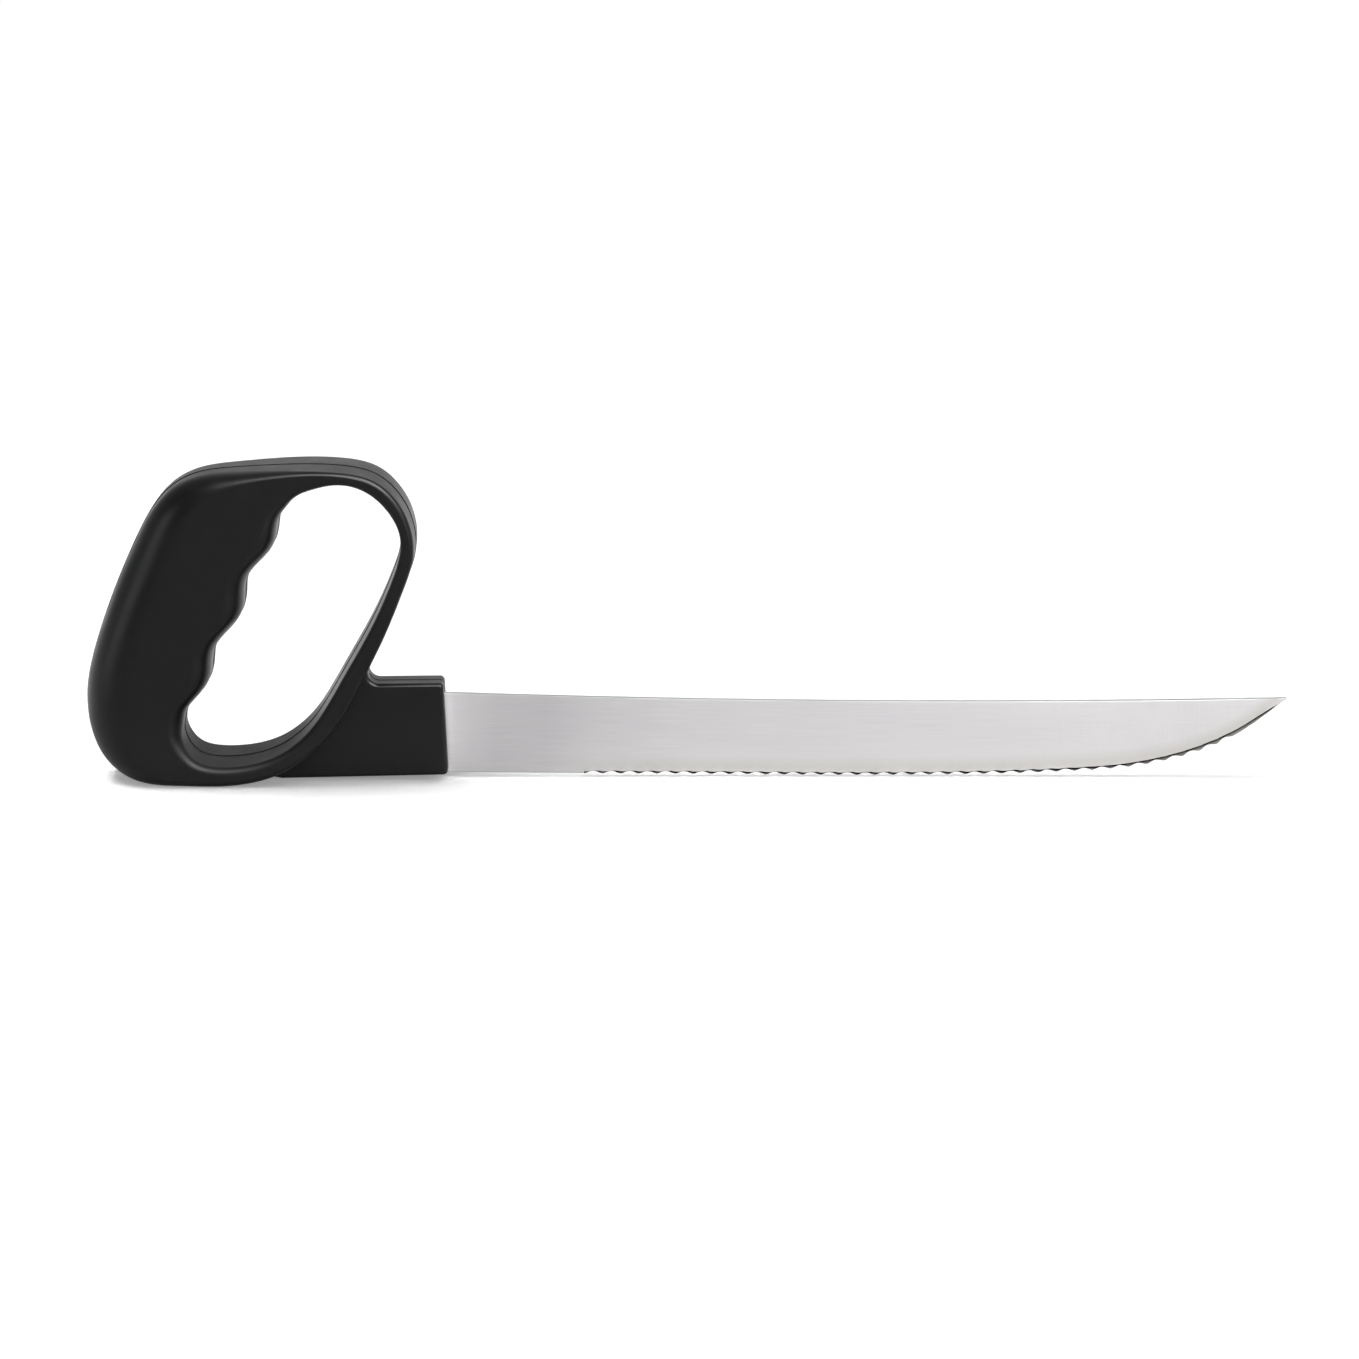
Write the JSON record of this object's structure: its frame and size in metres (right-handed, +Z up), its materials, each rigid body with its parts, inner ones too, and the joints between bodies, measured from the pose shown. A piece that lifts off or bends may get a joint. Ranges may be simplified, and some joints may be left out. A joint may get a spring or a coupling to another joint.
{
  "type": "angled bread knife",
  "caption": "Bread knife with a long scalloped steel blade and an upright, closed D-shaped moulded handle set above and behind the blade.",
  "frame": {"origin": "middle of the footprint, at the height of the surface that the knife stands on", "axes": "+X runs from the handle to the tip of the blade, +Z is up along the handle, and the handle's two halves meet on the plane y = 0"},
  "size_m": [0.3586, 0.03, 0.0958],
  "materials": {
    "blade_steel": "stainless steel strip, brushed along its length, with ground scallops",
    "handle_plastic": "moulded black plastic, satin, with a fine moulded texture",
    "pin_steel": "ground steel"
  },
  "bodies": {
    "root": {"blade": "blade_steel", "handle_shell_near": "handle_plastic", "handle_shell_far": "handle_plastic", "tang_pin_front": "pin_steel", "tang_pin_rear": "pin_steel"}
  },
  "joints": []
}
